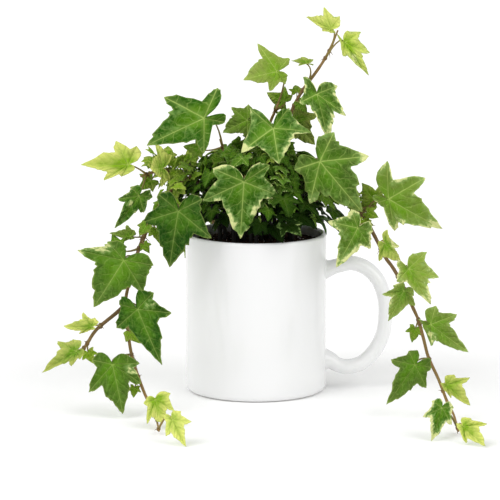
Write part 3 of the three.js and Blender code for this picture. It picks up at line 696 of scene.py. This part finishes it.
# Leaves on those stems, each by its joint and its five lobe tips round the blade, or its middle tip alone,
# then how far forward it lies, its nod and its roll in degrees, then its look as add_blade says, and last,
# for a long petiole, how far down the stem that starts.
LEAVES = {
    "vine_left": [
        ([(-45, 105), (-57, 115), (-67, 98), (-51, 72), (-26, 89), (-31, 112)], (44, 12, 10), (-0.22,)),
        ([(-77, 76), (-86, 87), (-103, 82), (-94, 48), (-65, 57), (-59, 73)], (56, 18, -12),
         (0.05, 0, 1.15, [(92, 0.5, 0.3, 0.75), (64, 0.72, 0.16, 0.6)])),
        ([(-69, 47), (-80, 50), (-82, 36), (-56, 14), (-50, 45), (-60, 57)], (66, 22, 12),
         (-0.06, 0, 1.05, [(-92, 0.32, 0.24, 0.55)])),
        ([(-84, 14), (-96, 17), (-98, -2), (-78, -15), (-67, 3), (-68, 15)], (70, 24, -10),
         (0.06, 0, 1, [(-95, 0.45, 0.26, 0.7)])),
        ([(-59, -7), (-66, -9), (-64, -21), (-55, -21), (-48, -13), (-50, -3)], (101, 28, -10), (0.9, 0.2)),
        ([(-49, -19), (-54, -18), (-53, -29), (-42, -34.5), (-38, -20), (-44, -14)], (138, 35, 5),
         (1.3, 0.1)),
        ([(-96, 37), (-94, 42), (-101, 45), (-113, 36), (-103, 32), (-98, 34)], (63, -15, -20), (0.95, 0.2)),
        ([(-105, 22), (-107, 29), (-116, 28), (-125, 10), (-108, 13), (-103, 17)], (69, 20, 18), (0.58, 0.2)),
        ([(-73, 90), (-71, 94), (-75, 97), (-85, 92), (-77, 87), (-73, 88)], (42, 10, 20), (0.2, 0.3)),
        ([(-80, 84), (-84, 92)], (46, -25, 0), (0.1,)),
        ([(-64, 96), (-68, 90)], (45, 10, 10), (0.45,)),
        ([(-58, 94), (-56, 86)], (38, 10, -15), (0.45,)),
        ([(-65, 85), (-62, 80)], (42, 20, 0), (0.45,)),
        ([(-73, 33), (-68, 26)], (60, 0, 30), (0.6,)),
        ([(-98, 21), (-95, 14)], (59, 0, 20), (0.9,)),
        ([(-71, 0), (-72, -6)], (64, 0, 10), (0.6,)),
    ],
    "vine_right": [
        ([(77, 112), (70, 110), (80, 93), (107, 94), (97, 124), (75, 134)], (27, 22, 16),
         (0.2, 0.65, 0.82, [(0, 0.98, 0.2, 1.3), (40, 0.5, 0.16, 0.9)])),
        ([(59, 95), (55, 106), (42, 99), (48, 72), (67, 83), (68, 93)], (34, 24, -16), (0.1, 0.8)),
        ([(75, 86), (71, 84), (71, 75), (84, 75), (83, 84), (76, 94)], (44, 14, 20),
         (0.65, 0.1, 1, [(-64, 0.55, 0.35, 0.8)])),
        ([(89, 71), (82, 73), (82, 63), (101, 50), (106, 66), (99, 81)], (56, 24, 14), (0.38, 0.7)),
        ([(86, 58), (80, 61), (74, 56), (78, 40), (93, 49), (92, 55)], (57, 22, -16), (0.33, 0.6)),
        ([(102, 38), (97, 38), (102, 25), (123, 21), (117, 44), (105, 49)], (66, 24, 16),
         (0.2, 0.4, 1, [(60, 0.4, 0.3, 0.6), (-40, 0.75, 0.2, 0.6)])),
        ([(93, 14), (89, 22), (79, 17), (78, -10), (100, 0), (103, 12)], (74, 22, -14), (0.08,)),
        ([(112, 2), (110, -1), (114, -6), (125, -11), (125, 6), (116, 8)], (84, 16, 20), (0.8, 0.2)),
        ([(109, -12), (103, -8), (98, -17), (104, -31), (115, -22), (116, -12)], (124, 34, -6),
         (-0.05, 0.95)),
        ([(122, -23), (119, -25), (123, -33), (134, -34.5), (135, -21), (126, -18)], (138, 40, 6), (1, 0.2)),
        ([(69, 111), (60, 121)], (18, -20, -30), (0.7, 0.2)),
        ([(65, 104), (71, 101)], (24, 20, 10), (0.4,)),
        ([(93, 35), (91, 27)], (49, 10, 10), (0.5,)),
    ],
    "vine_upper": [
        ([(43, 211), (48, 218), (39, 223), (29, 217), (38, 209.5), (42.5, 208.5)], (4, 12, -10),
         (1.35, 0.3), 15),
        ([(51, 203), (47.5, 205.5), (50, 195), (64, 184), (65, 197), (60, 209)], (8, 18, 14),
         (0.95, 0.5, 1, [(5, 0.5, 0.28, 0.6)]), 14),
        ([(35, 173), (27, 183), (25, 168), (42, 148), (52, 161), (47, 178)], (13, 26, -16), (0.04, 0.6)),
        ([(29, 190.7), (33, 194), (26, 195), (20.5, 193), (24.5, 190), (33, 190)], (8, 0, 60),
         (0.45, 0.3), 9),
        ([(22, 158), (34, 143)], (-5, -10, 15), (0.35, 0.2)),
        ([(25, 168), (29, 162)], (8, 10, 20), (0.3,)),
    ],
    "shoot_left": [
        ([(-74, 132), (-69, 143), (-81, 146), (-101, 133), (-88, 123), (-78, 125)], (9, 10, 24), (0.86, 0.1)),
        ([(-54, 130), (-48, 138), (-57, 145), (-61, 130), (-54, 119), (-49, 122)], (10, 30, 10), (1,)),
        ([(-68, 114), (-73, 119), (-80, 112), (-81, 95), (-65, 104), (-60, 113)], (18, 26, -14),
         (0, 0.5, 1, [(20, 0.35, 0.2, 0.6)])),
        ([(-61, 123), (-69, 117)], (-2, 0, -10), (0.6,)),
    ],
    "shoot_front_left": [
        # This leaf's weak, wide pale patch paints a grey green sheen over its blade.
        ([(-30, 159), (-22, 177), (-53, 172), (-63, 144), (-30, 139), (-18, 157)], (18, 14, 18),
         (-0.08, 0.2, 0.78, [(15, 0.4, 0.6, 0.24)])),
        ([(-33, 141), (-42, 143)], (14, 0, 20), (0.4,)),
    ],
    "shoot_front": [
        ([(-7, 122), (-25, 130), (-31, 111), (-9, 89), (13, 114), (8, 132)], (34, 16, 0),
         (-0.2, 0.6, 0.9, [(-62, 0.4, 0.15, 0.7), (-17, 0.6, 0.16, 0.85), (12, 0.78, 0.15, 0.85),
                           (110, 0.4, 0.12, 0.6)])),
    ],
    "shoot_middle": [
        ([(10, 153), (-4, 166), (-9, 140), (13, 134), (32, 152), (19, 166)], (15, 42, 4),
         (0, 0.6, 1, [(10, 0.5, 0.2, 0.4), (64, 0.7, 0.25, 0.7), (-64, 0.7, 0.2, 0.5)])),
    ],
    "shoot_top": [
        ([(12, 186), (19, 194), (1, 203), (-7, 182), (8, 175), (17, 179)], (3, 16, 24), (0.3, 0.25)),
        ([(-5, 158), (-20, 151)], (-2, -15, 25), (0.15, 0.2)),
        ([(16, 169), (6, 174)], (-9, -20, -25), (0.45,)),
    ],
    "shoot_right": [
        ([(37, 134), (22, 129), (31, 109), (61, 104), (65, 137), (45, 151)], (27, 10, 6),
         (0.06, 0.3, 1, [(62, 0.75, 0.25, 0.7), (-62, 0.72, 0.16, 1.4)])),
        ([(43, 118), (48, 108)], (2, 0, 10), (0.5,)),
    ],
}


LOBE_TIPS = [(-118, 0.56), (-64, 0.74), (0, 1), (64, 0.74), (118, 0.56)]


def seen(x, z, forward):
    """Where a point of the plane through the mug's axis lies when it is brought toward the viewer."""
    share = forward / -EYE.y
    return Vector((x + (EYE.x - x) * share, -forward, z + (EYE.z - z) * share))


def laid_out_leaf(points, pose):
    forward, nod, roll = pose
    joint, *given = [Vector(point) for point in points]
    middle = given[0 if len(given) == 1 else 2] - joint
    along = middle.normalized()
    across = Vector((-along.y, along.x))
    if len(given) == 1:
        given = []
        for turn, length in LOBE_TIPS:
            given.append(joint + Matrix.Rotation(math.radians(turn), 2) @ middle * length)
    tips = []
    for tip in given:
        nearer = math.tan(math.radians(nod)) * (tip - joint).dot(along)
        nearer += math.tan(math.radians(roll)) * (tip - joint).dot(across)
        tips.append(seen(tip.x, tip.y, forward + nearer))
    start = seen(joint.x, joint.y, forward)
    facing = (tips[2] - start).cross(tips[3] - start).normalized()
    return start, tips, facing


def rooted(root, free):
    """The points of a stem: upright in the soil at its root, then the free ones."""
    heights = (-ROOT_DEPTH, SOIL_CROWN, SOIL_CROWN + STRAIGHT_FOOT)
    return [Vector((*root, SOIL_LEVEL + height)) for height in heights] + free


FINE_LEAF = 17
STEMS_SEED = 97
leaf_trees = []
long_lines = {}
draw = random_from(STEMS_SEED)
for name, (root, points, *branches) in STEMS.items():
    blades, wood = new_mesh(True), new_mesh(False)
    lines = [smooth_line(rooted(root, [seen(*p) for p in points]), 4)]
    lines += [smooth_line([seen(*p) for p in branch], 4) for branch in branches]
    for line in lines:
        add_stem(wood, line, 0, 0.8)
    for points, pose, look, *lead in LEAVES[name]:
        leaf = laid_out_leaf(points, pose)
        joint, tips, facing = leaf
        fine = len(points) > 2 or (tips[2] - joint).length >= FINE_LEAF
        add_blade(blades, leaf, FINE_BLADE if fine else SMALL_BLADE, look, 10 * next(draw))
        start = min((take_off(line, joint, *lead) for line in lines), key=lambda p: (p - joint).length)
        add_petiole(wood, leaf, start, look[0])
        line = min(lines, key=lambda line: min((p - start).length for p in line))
        share = min(range(len(line)), key=lambda i: (line[i] - start).length) / len(line)
        add_node_and_rootlets(wood, start, (start - joint).normalized(), draw, share)
    leaf_trees.append(bvhtree.BVHTree.FromBMesh(blades))
    long_lines[name] = lines
    put_shoot(name, blades, wood, [name])


# The vines behind the mug: two shorter stems of the same plant, rooted behind the middle, which hang over
# the rim at the back and carry their leaves to the left and right in turn.
BACK_VINES = {
    "vine_back_left": (0.65 * math.pi, [(24, 112), (36, 122), (50, 112), (56, 92), (57, 72), (55, 52)]),
    "vine_back_right": (0.4 * math.pi, [(24, 112), (36, 122), (50, 112), (56, 92), (57, 57), (55, 22)]),
}
BACK_ROOT_RADIUS = 19
BACK_VINE_LEAVES = 7
BACK_LEAVES_START = 0.52
BACK_LEAF_ASIDE = 8
BACK_LEAF_OUT = 5
BACK_LEAF_SPREAD = 0.75
BACK_LEAF_LIFT = 0.6
BACK_LEAF_LENGTH = (20, 12)


def on_ring(radius, azimuth, height):
    return Vector((radius * math.cos(azimuth), radius * math.sin(azimuth), height))


def leaf_at(joint, direction, outward, length):
    """A regular leaf by its joint, where its middle tip points, which way it faces and its length."""
    facing = (outward - direction * outward.dot(direction)).normalized()
    tips = []
    for turn, share in LOBE_TIPS:
        tips.append(joint + Matrix.Rotation(math.radians(turn), 3, facing) @ direction * length * share)
    return joint, tips, facing


def point_along(marks, share):
    return marks[min(len(marks) - 1, round(share * (len(marks) - 1)))]


for name, (azimuth, reach_and_height) in BACK_VINES.items():
    blades, wood = new_mesh(True), new_mesh(False)
    out = on_ring(1, azimuth, 0)
    beside = Vector((-out.y, out.x, 0))
    free = [out * reach + Vector((0, 0, height)) for reach, height in reach_and_height]
    line = smooth_line(rooted((out * BACK_ROOT_RADIUS)[:2], free), 5)
    marks = marks_on(line) + [line[-1]]
    add_stem(wood, line, 0.0, 0.5)
    for i in range(BACK_VINE_LEAVES):
        share = i / (BACK_VINE_LEAVES - 1)
        side = 0 if share == 1 else (-1) ** (i + 1)
        joint = point_along(marks, between((BACK_LEAVES_START, 1), share))
        joint = joint + beside * BACK_LEAF_ASIDE * side + out * BACK_LEAF_OUT
        direction = (beside * BACK_LEAF_SPREAD * side - Vector((0, 0, 1))).normalized()
        length = between(BACK_LEAF_LENGTH, share)
        leaf = leaf_at(joint, direction, out + Vector((0, 0, BACK_LEAF_LIFT)), length)
        look = (0.1 + 0.5 * share, 0.5 * next(draw))
        add_blade(blades, leaf, FINE_BLADE, look, 10 * next(draw))
        start = take_off(line, joint)
        add_petiole(wood, leaf, start, look[0])
        add_node_and_rootlets(wood, start, -out, draw, 0.3)
    leaf_trees.append(bvhtree.BVHTree.FromBMesh(blades))
    put_shoot(name, blades, wood, [name])


# The crown: the dense head of small leaves on short shoots. The leaves that the solids have come first,
# in their places, and small ones then fill the head wherever they cross nothing. Their colour has painted
# shade: dark low in the head, lighter at its top and ends.
CROWN_RING_STEM = [(24, 101), (27, 110), (29, 118)]
CROWN_INNER_STEM = [(10, 108), (11, 122), (12, 134)]
CROWN_RING_SHOOTS = 10
CROWN_RING_RADIUS = 22
CROWN_INNER_AZIMUTHS = (0.17, 0.44, 0.63, 0.9)
CROWN_INNER_RADIUS = 10
CROWN_LEAVES = 390
CROWN_CENTRE_HEIGHT = 101
CROWN_RADIUS = 46
CROWN_HEIGHT = 44
CROWN_SHELLS = (1, 0.86, 0.72, 0.56)
CROWN_TOP_ANGLE = 8
CROWN_EDGE_ANGLE = 93
CROWN_LEAF_TILT = 0.75
CROWN_LEAF_SWING = 1.6
CROWN_LEAF_HANG = (-0.9, -0.4)
CROWN_LEAF_LENGTH = (8, 14)
CROWN_STEM_SWAY = 0.12
CROWN_SEED = 2717
CROWN_LOOKS_SEED = 5
CROWN_PAINTED_LIGHT_FROM = 95
CROWN_PAINTED_LIGHT_DEPTH = 45
CROWN_DEEPEST_PAINTED_SHADE = -1.05
CREAM_FROM = 0.8
SMALL_CREAM = 0.4
SMALL_PETIOLE_RADIUS = 0.36
FILL_LEAVES = 7000
FILL_SHELLS = (1, 0.92, 0.84, 0.74, 0.62, 0.5, 0.36)
FILL_DEEP = 0.65
FILL_DEEP_GAP = 3.2
FILL_FIRST_LENGTH = (7, 11)
FILL_LAST_LENGTH = (4.5, 6.5)
FILL_TURN = 1.5
FILL_STRIDE = 2719
RIM_SHOWS_BETWEEN = (26, 52)
RIM_SHOWS_BELOW = 108
SOIL_SHOWS_BELOW = 97
SOIL_SHOWS_BETWEEN = (-34, 45)
SOIL_SHOWS_BEFORE = 14
NEIGHBOUR_REACH = 26
SAME_PLACE = 0.1
SOLID_HALF_BLADE = 0.45
GOLDEN_ANGLE = math.pi * (3 - math.sqrt(5))


def dome_leaf(number, count, shells, lengths, draw, turn=0):
    """A leaf on one of the domes: facing out, tip hanging, and turned at random where turn is given."""
    azimuth = number * GOLDEN_ANGLE
    drop = math.sqrt((number + 0.5) / count)
    fall = math.radians(between((CROWN_TOP_ANGLE, CROWN_EDGE_ANGLE), drop))
    shell = shells[number % len(shells)]
    height = CROWN_CENTRE_HEIGHT + CROWN_HEIGHT * shell * math.cos(fall)
    joint = on_ring(CROWN_RADIUS * shell * math.sin(fall), azimuth, height)
    tilt = fall * CROWN_LEAF_TILT
    outward = on_ring(math.sin(tilt), azimuth, math.cos(tilt))
    heading = azimuth + (next(draw) - 0.5) * CROWN_LEAF_SWING
    hang = between(CROWN_LEAF_HANG, next(draw))
    direction = on_ring(1, heading, hang).normalized()
    length = between(lengths, next(draw))
    if turn:
        outward = outward + scatter(draw) * turn
        direction = (direction + scatter(draw, 0.7) * turn).normalized()
    return leaf_at(joint, direction, outward, length)


def blade_tree(leaf):
    probe = new_mesh(True)
    add_blade(probe, leaf, SMALL_BLADE, (0,), 0)
    tree = bvhtree.BVHTree.FromBMesh(probe)
    probe.free()
    return tree


def hides(leaf):
    """Whether a leaf would hide a large one, the strip of soil behind the rim, or the rim's right end."""
    joint, tips, _ = leaf
    for point in (joint, *tips):
        sight = point - EYE
        seen_height = EYE.z + sight.z * EYE.y / -sight.y
        over_soil = point.y < SOIL_SHOWS_BEFORE and SOIL_SHOWS_BETWEEN[0] < point.x < SOIL_SHOWS_BETWEEN[1]
        over_rim = RIM_SHOWS_BETWEEN[0] < point.x < RIM_SHOWS_BETWEEN[1]
        if over_soil and seen_height < SOIL_SHOWS_BELOW or over_rim and seen_height < RIM_SHOWS_BELOW:
            return True
        if any(large.ray_cast(point * MM, sight, 0.1)[0] for large in leaf_trees):
            return True
    return False


def add_small_leaf(leaf, stems, youth_and_painted_shade, cream, seed):
    """A small leaf on the nearest of the stems, each given as its line, its blades and its wood."""
    starts = [(take_off(line, leaf[0]), blades, wood) for line, blades, wood in stems]
    start, blades, wood = min(starts, key=lambda entry: (entry[0] - leaf[0]).length)
    add_blade(blades, leaf, SMALL_BLADE, (youth_and_painted_shade, cream), seed)
    add_petiole(wood, leaf, start, max(0, youth_and_painted_shade), SMALL_PETIOLE_RADIUS, 0.8)
    small_leaves.append((leaf[0], blade_tree(leaf)))


def crosses(leaf):
    """Whether a leaf would cross the mug, a large leaf or a small one nearby."""
    tree = blade_tree(leaf)
    near = [other for joint, other in small_leaves if (joint - leaf[0]).length < NEIGHBOUR_REACH]
    return any(tree.overlap(other) for other in standing + near)


def add_crown_leaf(leaf):
    """Painted shade dark low in the head, and painted light at the top and toward both ends, with cream on
    one leaf in five.
    """
    high = (leaf[0].z - CROWN_PAINTED_LIGHT_FROM) / CROWN_PAINTED_LIGHT_DEPTH
    aside = leaf[0].x / CROWN_RADIUS
    # Painted light and shade: lighter with height in the head and toward its outer ends.
    light = 1.6 * high - 0.3 * min(0, aside) + 2 * max(0, aside - 0.6)
    youth_and_painted_shade = max(CROWN_DEEPEST_PAINTED_SHADE, light - 1.75 + 0.95 * next(looks) ** 3)
    cream = SMALL_CREAM * (next(looks) > CREAM_FROM)
    add_small_leaf(leaf, crown_stems, youth_and_painted_shade, cream, 10 * next(looks))


mug_solid = bmesh.new()
mug_solid.from_mesh(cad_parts["mug"].data)
standing = leaf_trees + [bvhtree.BVHTree.FromBMesh(mug_solid)]
mug_solid.free()
small_leaves = []

draw = random_from(CROWN_SEED)
looks = random_from(CROWN_LOOKS_SEED)
ring_azimuths = [(number + 0.5) / CROWN_RING_SHOOTS for number in range(CROWN_RING_SHOOTS)]
shoots = [(turns, CROWN_RING_RADIUS, CROWN_RING_STEM) for turns in ring_azimuths]
shoots += [(turns, CROWN_INNER_RADIUS, CROWN_INNER_STEM) for turns in CROWN_INNER_AZIMUTHS]
crown_stems = []
for turns, radius, stem in shoots:
    azimuth = 2 * math.pi * turns
    free = []
    for i, (reach, height) in enumerate(stem):
        free.append(on_ring(reach, azimuth + CROWN_STEM_SWAY * i * (next(draw) - 0.5), height))
    line = smooth_line(rooted(on_ring(radius, azimuth, 0)[:2], free), 3)
    blades, wood = new_mesh(True), new_mesh(False)
    add_stem(wood, line, 0.1, 0.6)
    crown_stems.append((line, blades, wood))

corners = [v.co for n in range(len(shoots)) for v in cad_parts[f"crown_shoot_{n + 1}"].data.vertices]
nearest_corner = kdtree.KDTree(len(corners))
for i, corner in enumerate(corners):
    nearest_corner.insert(corner, i)
nearest_corner.balance()
for number in range(CROWN_LEAVES):
    leaf = dome_leaf(number, CROWN_LEAVES, CROWN_SHELLS, CROWN_LEAF_LENGTH, draw)
    joint, tips, facing = leaf
    tip = tips[2] - facing * (BLADE_DROOP * (tips[2] - joint).length - SOLID_HALF_BLADE)
    if nearest_corner.find(tip * MM)[2] < SAME_PLACE * MM:
        add_crown_leaf(leaf)

for number in range(FILL_LEAVES):
    lengths = [between(pair, number / FILL_LEAVES) for pair in zip(FILL_FIRST_LENGTH, FILL_LAST_LENGTH)]
    place = number * FILL_STRIDE % FILL_LEAVES
    leaf = dome_leaf(place, FILL_LEAVES, FILL_SHELLS, lengths, draw, FILL_TURN)
    if hides(leaf):
        continue
    if FILL_SHELLS[place % len(FILL_SHELLS)] < FILL_DEEP:
        blocked = min((joint - leaf[0]).length for joint, _ in small_leaves) < FILL_DEEP_GAP
    else:
        blocked = crosses(leaf)
    if not blocked:
        add_crown_leaf(leaf)
for number, (line, blades, wood) in enumerate(crown_stems):
    name = f"crown_shoot_{number + 1}"
    put_shoot(name, blades, wood, [name])


# Sprigs: the small young leaves that stand thickly on the long stems where they leave the head. Each
# stretch is a stem, the shares of it where the sprigs begin and end, how many there are and how young,
# where a value below 0 is painted shade.
SPRIGS = {
    "shoot_left": (0.25, 0.9, 72, (0, 1)),
    "vine_left": (0.12, 0.34, 40, (0, 0.6)),
    "vine_right": (0.12, 0.3, 40, (0.1, 0.8)),
    "shoot_right": (0.5, 0.9, 10, (0, 0.2)),
    "shoot_top": (0.35, 0.85, 20, (-0.1, 0.5)),
    "vine_upper": (0.28, 0.66, 30, (0.1, 0.8)),
}
SPRIG_REACH = (4, 12)
SPRIG_LENGTH = (5, 9.5)
SPRIG_TRIES = 12
for name, (start, end, number, ages) in SPRIGS.items():
    blades, wood = new_mesh(True), new_mesh(False)
    marks = marks_on(long_lines[name][0])
    for i in range(number):
        for _ in range(SPRIG_TRIES):
            stem_point = point_along(marks, between((start, end), (i + next(draw)) / number))
            aim = scatter(draw, 0.45).normalized()
            joint = stem_point + aim * between(SPRIG_REACH, next(draw))
            direction = (aim + Vector((next(draw) - 0.5, 0, -0.9 * next(draw)))).normalized()
            outward = Vector((next(draw) - 0.5, -1.2 * next(draw), 0.3 + next(draw)))
            leaf = leaf_at(joint, direction, outward, between(SPRIG_LENGTH, next(draw)))
            if not hides(leaf) and not crosses(leaf):
                youth_and_painted_shade = between(ages, i / number) + 0.5 * (next(looks) - 0.5)
                add_small_leaf(leaf, [(long_lines[name][0], blades, wood)], youth_and_painted_shade, 0, 10 * next(looks))
                break
    put_shoot(name, blades, wood, ends=("sprig_leaves", "sprig_stalks"))


# The studio: a seamless matt white table under soft light from all round, which is a little brighter from
# the upper left, and a long lens that looks slightly down at the mug.
LIGHTS = {"left_window": (1.36, (0.85, 0.5, -0.9)), "right_window": (1.0, (-0.8, 0.52, -0.75))}
LIGHT_SOFTNESS = 50
ROOM_LIGHT = 0.66
LENS = 213.6
LOOKED_AT = Vector((-3.5, 0, 82))
TABLE_HALF_WIDTH = 12
scene = bpy.context.scene
bm = bmesh.new()
bmesh.ops.create_grid(bm, x_segments=1, y_segments=1, size=TABLE_HALF_WIDTH)
table = add_object("table", closed_mesh("table", bm))
material, shader, node = new_material("white_table")
feed(shader, Base_Color=colour("#fdfdfd"), Roughness=0.5, Specular_IOR_Level=0)
table.data.materials.append(material)

world = bpy.data.worlds.new("soft_room")
scene.world = world
world.use_nodes = True
feed(world.node_tree.nodes["Background"], Color=(1, 1, 1, 1), Strength=ROOM_LIGHT)

for name, (energy, aim) in LIGHTS.items():
    light_data = bpy.data.lights.new(name, "SUN")
    light_data.energy = energy
    light_data.angle = math.radians(LIGHT_SOFTNESS)
    light = add_object(name, light_data)
    light.rotation_euler = Vector(aim).to_track_quat("-Z", "Y").to_euler()

scene.view_settings.view_transform = "Standard"

camera_data = bpy.data.cameras.new("camera")
camera_data.lens = LENS
camera_data.sensor_width = 36
camera = add_object("camera", camera_data)
camera.location = EYE * MM
aim = LOOKED_AT * MM - camera.location
camera.rotation_euler = aim.to_track_quat("-Z", "Y").to_euler()
scene.camera = camera
